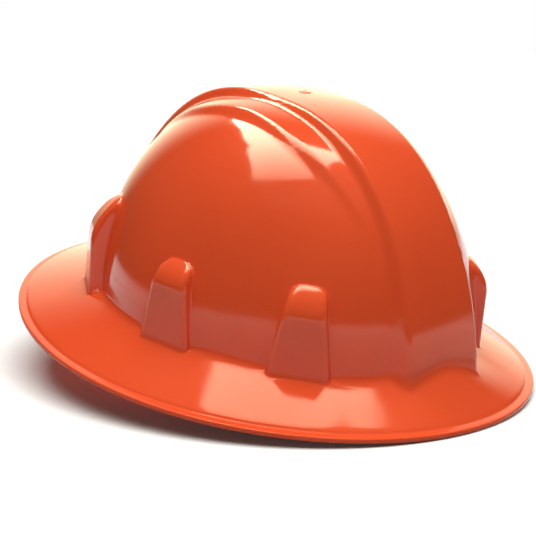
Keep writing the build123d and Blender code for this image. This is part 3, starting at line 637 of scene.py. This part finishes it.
def woven(name, dark, light, across, along, depth=0.0001):
    """Woven tape or cloth: threads over and under, drawn from the piece's own thread coordinates."""
    material, tree, shader, place = new_material(name, 0.75)
    threads = tree.nodes.new("ShaderNodeAttribute")
    threads.attribute_name = "thread"
    split = tree.nodes.new("ShaderNodeSeparateXYZ")
    tree.links.new(threads.outputs["Vector"], split.inputs["Vector"])
    warp = math_node(tree, "SINE", math_node(tree, "MULTIPLY", split.outputs["X"], 2 * pi * across))
    weft_place = math_node(tree, "ADD", math_node(tree, "MULTIPLY", split.outputs["Y"], 2 * pi * along),
                           math_node(tree, "MULTIPLY", math_node(tree, "SIGN", warp), pi / 2))
    weft = math_node(tree, "SINE", weft_place)
    over, under = math_node(tree, "ABSOLUTE", warp), math_node(tree, "ABSOLUTE", weft)
    height = math_node(tree, "MULTIPLY", over, under)
    fuzz = noise(tree, place, 2500, 3)
    height = math_node(tree, "ADD", height, math_node(tree, "MULTIPLY", fuzz, 0.35))
    # Colour darker where the threads dip under others: painted shade in the hollows of the weave
    shade = spread(tree, height, 0, 1, 0.1, 1.2)
    tree.links.new(tinted(tree, shade, dark, light), shader.inputs["Base Color"])
    tree.links.new(spread(tree, fuzz, 0.65, 0.9), shader.inputs["Roughness"])
    shader.inputs["Sheen Weight"].default_value = 0.25
    bumped(tree, shader, height, depth)
    return material


def brushed_steel():
    """Zinc-plated screw steel with fine turning marks."""
    material, tree, shader, place = new_material("screw_steel", 0.3)
    shader.inputs["Metallic"].default_value = 1.0
    shade = noise(tree, place, 700, 4, 0.6, (0.1, 1, 1))
    colour = tinted(tree, shade, srgb(150, 152, 156), srgb(205, 206, 208))
    tree.links.new(colour, shader.inputs["Base Color"])
    tree.links.new(spread(tree, shade, 0.22, 0.42), shader.inputs["Roughness"])
    bumped(tree, shader, shade, 0.00002)
    return material


window_light, overhead_power, inner_power = 27.0, 44.0, 0.05
room_light, sweep_light, room_edge, sweep_edge = 0.07, 3.0, 0.743, 0.996
sweep_way = Vector((-0.664, 0.664, 0.342)).normalized()
crown_gloss, brim_gloss = 0.3, 0.12
shell_dark, shell_light = srgb(216, 76, 40), srgb(226, 84, 46)
shell_rough, scuff_rough = 0.09, 0.07
orange = glossy_shell()
black_plastic = moulded("suspension_black", srgb(34, 35, 38), srgb(44, 45, 48), 0.42)
knob_black = moulded("knob_black", srgb(28, 29, 31), srgb(38, 39, 41), 0.36, 1400, 0.00004)
acetal = moulded("acetal_white", srgb(214, 214, 208), srgb(228, 228, 224), 0.3, 700, 0.00001)
steel = brushed_steel()
webbing = woven("strap_webbing", srgb(38, 40, 44), srgb(88, 91, 96), 10, 900)
pad_cloth = woven("pad_cloth", srgb(40, 41, 44), srgb(74, 76, 80), 900, 900, 0.00006)

shell = new_piece("hat_shell", shell_points, shell_faces, orange)
crown_count = (len(crown_points) + len(side_points)) * column_count
brim_shares = np.zeros(len(shell_points), np.float32)
brim_shares[crown_count : len(all_rows) * column_count - crown_count] = 1.0
shell.data.attributes.new("brim", "FLOAT", "POINT").data.foreach_set("value", brim_shares)
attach(shell, "hat")
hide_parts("shell")

# Mark of the moulding's gate, a low button at the crown's pole
gate_profile = [(3.4, -0.25), (3.2, 0.2), (2.7, 0.4), (1.5, 0.4), (1.0, 0.15), (0.4, 0.12)]
gate_sides = 32
gate_points = []
for radius, rise in gate_profile:
    for number in range(gate_sides):
        turn = 2 * pi * number / gate_sides
        gate_points.append(pole + [radius * cos(turn), radius * sin(turn), rise])
gate_points += [pole + [0, 0, rise] for rise in (gate_profile[-1][1], gate_profile[0][1])]
gate_faces = grid_faces(len(gate_profile), gate_sides)
last, middle = (len(gate_profile) - 1) * gate_sides, len(gate_points) - 2
for number in range(gate_sides):
    following = (number + 1) % gate_sides
    gate_faces += [(last + number, middle, last + following), (following, middle + 1, number)]
gate = new_piece("gate_mark", placed(np.array(gate_points)), gate_faces, orange)
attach(gate, "hat")


def threads(piece, values):
    """Thread coordinates of a woven piece, in metres along and across it."""
    layer = piece.data.attributes.new("thread", "FLOAT_VECTOR", "POINT")
    layer.data.foreach_set("vector", np.asarray(values, dtype=np.float32).reshape(-1))


# Suspension: sizes that the pieces below take from the part's source
key_width, shelf_low, tab_thick = 25.0, 2.0, 2.2
strap_width, strap_thick, strap_hem = 19.0, 1.2, 3.0
strap_top, strap_step, strap_foot, strap_flat, fit_gap = 96.0, 1.6, 18.0, 26.0, 0.3
band_half, band_half_width, band_gap, band_thick = 104.0, 76.5, 0.3, 1.8
hook_low, hook_high, hook_width = 9.0, 15.0, 10.0
pad_low, pad_high, pad_thick, pad_turn, pad_channels, soft_gap = -6.0, 23.0, 5.0, radians(58), 11, 0.3
band_steps = 4


def band_distance(origin, level, out, width):
    """Level distance from the skirt, along a pocket's normal, to the headband."""
    nearest = band_half
    for step in range(-band_steps, band_steps + 1):
        start = origin + level * (width / 2 * step / band_steps)
        ahead, beside = (start[0] - crown_forward) / band_half, start[1] / band_half_width
        step_ahead, step_beside = -out[0] / band_half, -out[1] / band_half_width
        square = step_ahead**2 + step_beside**2
        middle = ahead * step_ahead + beside * step_beside
        reach = (-middle - sqrt(middle**2 - square * (ahead**2 + beside**2 - 1))) / square
        nearest = min(nearest, reach)
    return nearest


slot_points, hook_spots = {}, []
for name, place in pocket_places.items():
    for side in (1, -1):
        origin, level, out = crown_spot(place, side)
        distance = band_distance(origin, level, out, key_width)
        slot_depth = wall + keeper_thick / 2 + distance - band_gap - tab_thick
        slot_points[(name, side)] = origin - out * slot_depth / 2
        hook_spots.append(origin - out * band_distance(origin, level, out, hook_width))

tape_steps, tape_round, sharp_angle = 12, (pi / 4, pi / 2, 3 * pi / 4), radians(50)


def ribbon(name, path, across, width, thick, material):
    """Woven tape along a path in the hat's frame: rounded edges, with thread coordinates."""
    path = np.array(path, float)
    run = np.gradient(path, axis=0)
    run /= np.linalg.norm(run, axis=1)[:, None]
    side = np.array(across, float)
    out = np.cross(run, side)
    reach = np.concatenate([[0], np.cumsum(np.linalg.norm(np.diff(path, axis=0), axis=1))])
    half, flat = thick / 2, width / 2 - thick / 2
    marks = [(-flat + 2 * flat * step / tape_steps, half) for step in range(tape_steps + 1)]
    marks += [(flat + half * sin(a), half * cos(a)) for a in tape_round]
    marks += [(flat - 2 * flat * step / tape_steps, -half) for step in range(tape_steps + 1)]
    marks += [(-flat - half * sin(a), -half * cos(a)) for a in tape_round]
    points, values = [], []
    for number in range(len(path)):
        for u, w in marks:
            points.append(path[number] + side * u + out[number] * w)
            values.append((u * MM, reach[number] * MM, 0))
    count = len(marks)
    faces = grid_faces(len(path), count)
    faces += [tuple(range(count))[::-1], tuple(range((len(path) - 1) * count, len(path) * count))]
    piece = new_piece(name, placed(points), faces, material, sharp_angle)
    threads(piece, values)
    return piece


def merged(name, pieces):
    """One object from several, with their thread coordinates kept."""
    with bpy.context.temp_override(active_object=pieces[0], selected_editable_objects=pieces):
        bpy.ops.object.join()
    pieces[0].name = name
    return pieces[0]


partners = {"front": "rear", "middle": "middle", "rear": "front"}
foot_steps, bend_steps, flat_steps = 10, 60, 24
hem_rows, hem_sides, hem_share = 9, 16, 0.99
quarter = np.linspace(0, pi / 2, bend_steps)
hem_turns = np.linspace(0, 2 * pi, hem_sides, endpoint=False)
hem_ring = [(strap_hem / 2 * cos(a), strap_hem / 2 * sin(a)) for a in hem_turns]
for order, name in enumerate(("middle", "front", "rear")):
    start, end = slot_points[(name, 1)], slot_points[(partners[name], -1)]
    length = np.linalg.norm(end - start)
    inward = (end - start) / length
    crossing = start[1] / -inward[1]
    hem_top = shelf_low - fit_gap
    tall = strap_top + order * strap_step - strap_foot - strap_thick / 2
    low_turn, high_turn = crossing - strap_flat, crossing + strap_flat
    foot_rise = strap_foot - hem_top + strap_hem
    line = [(0, hem_top - strap_hem + step * foot_rise / foot_steps) for step in range(foot_steps)]
    line += [(low_turn - low_turn * cos(a), strap_foot + tall * sin(a)) for a in quarter]
    line += [
        (low_turn + (high_turn - low_turn) * step / flat_steps, strap_foot + tall)
        for step in range(1, flat_steps)
    ]
    line += [
        (high_turn + (length - high_turn) * sin(a), strap_foot + tall * cos(a)) for a in quarter
    ]
    line += [
        (length, strap_foot - step * foot_rise / foot_steps) for step in range(1, foot_steps + 1)
    ]
    path = [(*(start + inward * s), h) for s, h in line]
    side = (inward[1], -inward[0], 0)
    tape = ribbon("tape", path, side, strap_width, strap_thick, webbing)
    hems = []
    for s in (0, length):
        middle = start + inward * s
        points, values = [], []
        for step in range(hem_rows):
            u = strap_width * (step / (hem_rows - 1) - 0.5) * hem_share
            for forward, up in hem_ring:
                spot = middle + inward * forward + np.array(side[:2]) * u
                points.append((spot[0], spot[1], hem_top - strap_hem / 2 + up))
                values.append((u * MM, up * MM, 0))
        last_ring = range((hem_rows - 1) * hem_sides, hem_rows * hem_sides)
        faces = grid_faces(hem_rows, hem_sides) + [tuple(range(hem_sides))[::-1], tuple(last_ring)]
        hem = new_piece("hem", placed(points), faces, webbing, sharp_angle)
        threads(hem, values)
        hems.append(hem)
    strap = merged("strap_" + name, [tape, *hems])
    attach(strap, "hat")
    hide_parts("crown_strap_" + name)

# Brow pad: a quilted cushion bent round the inside of the headband's front
pad_half, pad_half_width = band_half - band_thick - soft_gap, band_half_width - band_thick - soft_gap
pad_columns, pad_ring, end_columns = 240, 40, 9
channel_deep, channel_half, thread_radius = 0.34, 0.09, 90
hook_dent, hook_beside, hook_fade, hook_over, hook_over_fade = 2.9, 11, 4, 8.5, 2.5
end_open, end_draw, channel_draw = 0.08, 0.1, 0.35
height_power, depth_power, pad_fall, pad_fall_power, cloth_gap = 0.55, 0.8, 0.5, 4, 0.15
pad_middle, hook_middle = (pad_low + pad_high) / 2, (hook_low + hook_high) / 2
points, values = [], []
for column in range(pad_columns + 1):
    share = column / pad_columns
    turn = pad_turn * (2 * share - 1)
    spot = np.array([crown_forward + pad_half * cos(turn), pad_half_width * sin(turn)])
    inward = -np.array([pad_half_width * cos(turn), pad_half * sin(turn)])
    inward /= np.linalg.norm(inward)
    end = min(share, 1 - share) * pad_columns
    closed = sqrt(max(1 - (1 - min(end / end_columns, 1)) ** 2, 0)) * (1 - end_open) + end_open
    cell = (share * (pad_channels + 1)) % 1
    puff = 1 - channel_deep * np.exp(-((min(cell, 1 - cell)) / channel_half) ** 2)
    tall = (pad_high - pad_low) / 2 * (1 - end_draw + end_draw * closed) - channel_draw * (1 - puff)
    for mark in range(pad_ring):
        angle = 2 * pi * mark / pad_ring
        up = np.sign(sin(angle)) * abs(sin(angle)) ** height_power * tall
        depth = 0.5 + 0.5 * np.sign(cos(angle)) * abs(cos(angle)) ** depth_power
        crown = 1 - pad_fall * (up / tall) ** pad_fall_power
        reach = cloth_gap + depth * (pad_thick - 2 * cloth_gap) * puff * closed * crown
        if depth < 0.5:
            for hook in hook_spots:
                beside = hypot(*(spot - hook))
                over = abs(pad_middle + up - hook_middle)
                dent = hook_dent * smooth((hook_beside - beside) / hook_fade)
                reach += dent * smooth((hook_over - over) / hook_over_fade) * (0.5 - depth) * 2
        inner = spot + inward * reach
        points.append((inner[0], inner[1], pad_middle + up))
        values.append((turn * thread_radius * MM, up * MM, 0))
faces = grid_faces(pad_columns + 1, pad_ring)
faces += [tuple(range(pad_ring))[::-1], tuple(range(pad_columns * pad_ring, (pad_columns + 1) * pad_ring))]
brow = new_piece("brow_cushion", placed(points), faces, pad_cloth)
threads(brow, values)
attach(brow, "hat")
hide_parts("brow_pad")

# Nape pad: a small crowned cushion on the front of the ratchet housing, with an edge seam
housing_front = -88.8
nape_low, nape_high, nape_width, nape_thick = -36.0, -15.5, 52.0, 5.0
nape_half, nape_tall = nape_width / 2, (nape_high - nape_low) / 2
seam_inset, seam_width, seam_deep = 2.6, 0.7, 0.3
side_power, top_power, waist, waist_power = 8, 6, 0.03, 3
corner_draw, top_draw, top_draw_power, flat_share, crown_share = 0.1, 0.05, 4, 0.82, 0.18
back_gap, back_puff, front_gap = 0.35, 0.15, 0.2
nape_middle, nape_puff = (nape_low + nape_high) / 2, nape_thick - back_gap - front_gap
points, values = [], []
steps_across, steps_up = 60, 28
for face in (1, 0):
    for row in range(steps_up + 1):
        for column in range(steps_across + 1):
            u, v = 2 * column / steps_across - 1, 2 * row / steps_up - 1
            edge_u, edge_v = 1 - abs(u) ** side_power, 1 - abs(v) ** top_power
            pull = 1 - waist * (1 - v * v) * abs(u) ** waist_power
            y = u * nape_half * pull * (1 - corner_draw * abs(v) ** side_power * abs(u) ** top_power)
            narrowed = 1 - top_draw * (1 - abs(u) ** top_draw_power) * v**top_draw_power
            z = nape_middle + v * nape_tall * narrowed
            rise = sqrt(max(edge_u * edge_v, 0)) * (flat_share + crown_share * (1 - u * u) * (1 - v * v))
            inside = min(nape_half - abs(u) * nape_half, nape_tall - abs(v) * nape_tall)
            rise *= 1 - seam_deep * np.exp(-((inside - seam_inset) / seam_width) ** 2)
            depth = back_gap + face * nape_puff * rise - (1 - face) * back_puff * rise
            points.append((housing_front + depth, y, z))
            values.append((y * MM, z * MM, 0))
columns = steps_across + 1
per_face = columns * (steps_up + 1)
faces = []
for face, flip in ((0, False), (per_face, True)):
    for row in range(steps_up):
        for column in range(steps_across):
            a = face + row * columns + column
            quad = (a, a + 1, a + columns + 1, a + columns)
            faces.append(quad[::-1] if flip else quad)
edge = list(range(columns))
edge += [row * columns + columns - 1 for row in range(1, steps_up + 1)]
edge += [steps_up * columns + column for column in range(columns - 2, -1, -1)]
edge += [row * columns for row in range(steps_up - 1, 0, -1)]
for number, a in enumerate(edge):
    b = edge[(number + 1) % len(edge)]
    faces.append((a, a + per_face, b + per_face, b))
nape_cushion = new_piece("nape_cushion", placed(points), faces, pad_cloth)
threads(nape_cushion, values)
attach(nape_cushion, "nape")
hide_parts("nape_pad")

# Side arms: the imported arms, cut across every 1.5 mm so that they bend between their front ends and the nape
arm_step = 0.0015
for side in ("left", "right"):
    mesh = nodes["side_arm_" + side].data.copy()
    work = bmesh.new()
    work.from_mesh(mesh)
    low_corner, high_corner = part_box("side_arm_" + side)
    cut = low_corner.x + arm_step
    while cut < high_corner.x:
        everything = work.verts[:] + work.edges[:] + work.faces[:]
        bmesh.ops.bisect_plane(work, geom=everything, plane_co=(cut, 0, 0), plane_no=(1, 0, 0))
        cut += arm_step
    work.to_mesh(mesh)
    work.free()
    arm = linked("springy_arm_" + side, mesh)
    mesh.materials.clear()
    mesh.materials.append(black_plastic)
    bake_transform(arm)
    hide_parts("side_arm_" + side)

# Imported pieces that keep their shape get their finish, by the last start of a name that fits
finishes = {
    "key_": black_plastic, "headband": black_plastic, "ratchet_": black_plastic, "knob": knob_black,
    "rack_": acetal, "pinion": acetal, "detent_ring": acetal,
    "cover_screws": steel, "knob_screw": steel, "arm_studs": black_plastic,
}
for name, node in nodes.items():
    for start, finish_material in finishes.items():
        if name.startswith(start):
            node.data.materials.clear()
            node.data.materials.append(finish_material)

# Floor, white but for the hat's shadow
floor_mesh = bpy.data.meshes.new("floor")
floor_reach, floor_gap = 3.0, 0.0001
floor_bounce, floor_white, floor_glow = 0.45, 1.0, 0.02
glow_near, glow_far = 0.25, 1.1
floor_level = min(0.0, cad_box[0][2]) - floor_gap
corners = [(-1, -1), (1, -1), (1, 1), (-1, 1)]
floor_points = [(x * floor_reach, y * floor_reach, floor_level) for x, y in corners]
floor_mesh.from_pydata(floor_points, [], [(0, 1, 2, 3)])
floor = linked("floor", floor_mesh)


def floor_material():
    """Matt floor, white to the camera and in the gloss, that glows more with distance to stay white."""
    material = bpy.data.materials.new("floor_white")
    material.use_nodes = True
    tree = material.node_tree
    shader = tree.nodes["Principled BSDF"]
    shader.inputs["Roughness"].default_value = 0.9
    shader.inputs["Specular IOR Level"].default_value = 0.1
    path = tree.nodes.new("ShaderNodeLightPath")
    seen = math_node(tree, "MAXIMUM", path.outputs["Is Camera Ray"], path.outputs["Is Glossy Ray"])
    seen = math_node(tree, "MAXIMUM", seen, path.outputs["Is Transmission Ray"])
    colour = tinted(tree, seen, (*[floor_bounce] * 3, 1), (*[floor_white] * 3, 1))
    tree.links.new(colour, shader.inputs["Base Color"])
    glow = tree.nodes.new("ShaderNodeEmission")
    place = tree.nodes.new("ShaderNodeNewGeometry")
    away = tree.nodes.new("ShaderNodeVectorMath")
    away.operation = "LENGTH"
    tree.links.new(place.outputs["Position"], away.inputs[0])
    far_glow = spread(tree, away.outputs["Value"], floor_glow, 1.0, glow_near, glow_far)
    tree.links.new(math_node(tree, "MULTIPLY", seen, far_glow), glow.inputs["Strength"])
    both = tree.nodes.new("ShaderNodeAddShader")
    tree.links.new(shader.outputs["BSDF"], both.inputs[0])
    tree.links.new(glow.outputs["Emission"], both.inputs[1])
    tree.links.new(both.outputs["Shader"], tree.nodes["Material Output"].inputs["Surface"])
    return material


floor_mesh.materials.append(floor_material())

# World: a dim warm room, with a bright patch that only glossy rays meet, and plain white to the camera
sweep_colour, white = (1, 0.9, 0.62, 1), (1, 1, 1, 1)
world = bpy.data.worlds.new("studio")
bpy.context.scene.world = world
world.use_nodes = True
tree = world.node_tree
background = tree.nodes["Background"]
coordinates = tree.nodes.new("ShaderNodeTexCoord")
facing = tree.nodes.new("ShaderNodeVectorMath")
facing.operation = "DOT_PRODUCT"
facing.inputs[1].default_value = sweep_way
tree.links.new(coordinates.outputs["Generated"], facing.inputs[0])
lobe = spread(tree, facing.outputs["Value"], 0, sweep_light, room_edge, sweep_edge)
lobe.node.interpolation_type = "SMOOTHSTEP"
path = tree.nodes.new("ShaderNodeLightPath")
sweep = math_node(tree, "MULTIPLY", lobe, path.outputs["Is Glossy Ray"])
glow = math_node(tree, "ADD", room_light, sweep)
strength = math_node(tree, "MAXIMUM", glow, path.outputs["Is Camera Ray"])
tree.links.new(strength, background.inputs["Strength"])
colour = tinted(tree, path.outputs["Is Camera Ray"], sweep_colour, white)
tree.links.new(colour, background.inputs["Color"])


fade_share, fade_start, fade_end = 0.2, 0.05, 0.25


def card(name, corners, strength, colour):
    """Glowing panel above the hat that only its gloss shows, dimmer towards the right and the front."""
    material = bpy.data.materials.new(name)
    material.use_nodes = True
    tree = material.node_tree
    tree.nodes.remove(tree.nodes["Principled BSDF"])
    glow = tree.nodes.new("ShaderNodeEmission")
    glow.inputs["Color"].default_value = (*colour, 1)
    place = tree.nodes.new("ShaderNodeNewGeometry")
    along = tree.nodes.new("ShaderNodeVectorMath")
    along.operation = "DOT_PRODUCT"
    along.inputs[1].default_value = (1, -1, 0)
    tree.links.new(place.outputs["Position"], along.inputs[0])
    fade = spread(tree, along.outputs["Value"], strength, fade_share * strength, fade_start, fade_end)
    tree.links.new(fade, glow.inputs["Strength"])
    tree.links.new(glow.outputs["Emission"], tree.nodes["Material Output"].inputs["Surface"])
    mesh = bpy.data.meshes.new(name)
    mesh.from_pydata(corners, [], [tuple(range(len(corners)))])
    mesh.materials.append(material)
    panel = linked(name, mesh)
    panel.visible_camera = False
    panel.visible_diffuse = False
    panel.visible_shadow = False


def softbox(name, place, target, size, power, colour):
    """Rectangular lamp at a place, facing a target, that adds light but no highlight of its own."""
    lamp = bpy.data.lights.new(name, "AREA")
    lamp.shape = "RECTANGLE"
    lamp.size, lamp.size_y = size
    lamp.energy = power
    lamp.color = colour
    piece = linked(name, lamp)
    piece.location = place
    piece.rotation_mode = "QUATERNION"
    piece.rotation_quaternion = (Vector(target) - Vector(place)).to_track_quat("-Z", "Y")
    piece.visible_glossy = False


overhead_place, overhead_target, overhead_size = (0.22, -0.12, 1.6), (0.02, 0, 0.08), (1.8, 1.8)
inner_place, inner_target, inner_size = (-0.02, -0.02, 0.045), (-0.02, -0.02, 0), (0.12, 0.11)
overhead_colour, inner_colour, window_colour = (1, 0.98, 0.95), (1, 0.05, 0.05), (1, 0.9, 0.64)
softbox("overhead", overhead_place, overhead_target, overhead_size, overhead_power, overhead_colour)
# Small red lamp under the shell, in place of the light that comes through it and warms its shadow
softbox("through_shell", inner_place, inner_target, inner_size, inner_power, inner_colour)
window_height = 0.35
window_outline = [
    (-0.097, -0.047), (-0.061, -0.083), (-0.035, -0.098), (-0.033, -0.114), (0.003, -0.160), (0.031, -0.209),
    (0.056, -0.192), (0.079, -0.174), (0.102, -0.152), (0.120, -0.126), (0.134, -0.106), (0.150, -0.080),
    (0.125, 0.016), (0.132, 0.027), (0.155, 0.044), (0.176, 0.061), (0.200, 0.085), (0.130, 0.070),
    (0.055, 0.000), (0.000, -0.035), (-0.050, -0.008), (-0.150, 0.040), (-0.200, 0.050), (-0.200, 0.015),
]
card("window", [(x, y, window_height) for x, y in window_outline], window_light, window_colour)

# Camera at the photograph's viewing angle
camera_data = bpy.data.cameras.new("camera")
camera = linked("camera", camera_data)
bpy.context.scene.camera = camera
camera_back = Vector((0.7399, -0.6306, 0.2344)).normalized()
hat_middle = Vector(placed([0.0, 0.0, 0.0]))
camera_distance, sensor_width, focal_pixels, photo_pixels = 0.8, 36.0, 1408, 536
camera.location = hat_middle + camera_back * camera_distance
camera.rotation_mode = "QUATERNION"
camera.rotation_quaternion = (-camera_back).to_track_quat("-Z", "Y")
camera_data.sensor_width = sensor_width
camera_data.lens = sensor_width * focal_pixels / photo_pixels
camera_data.shift_x = -0.0026
camera_data.shift_y = 0.1019
camera_data.clip_start = 0.01
bpy.context.scene.view_settings.view_transform = "Standard"
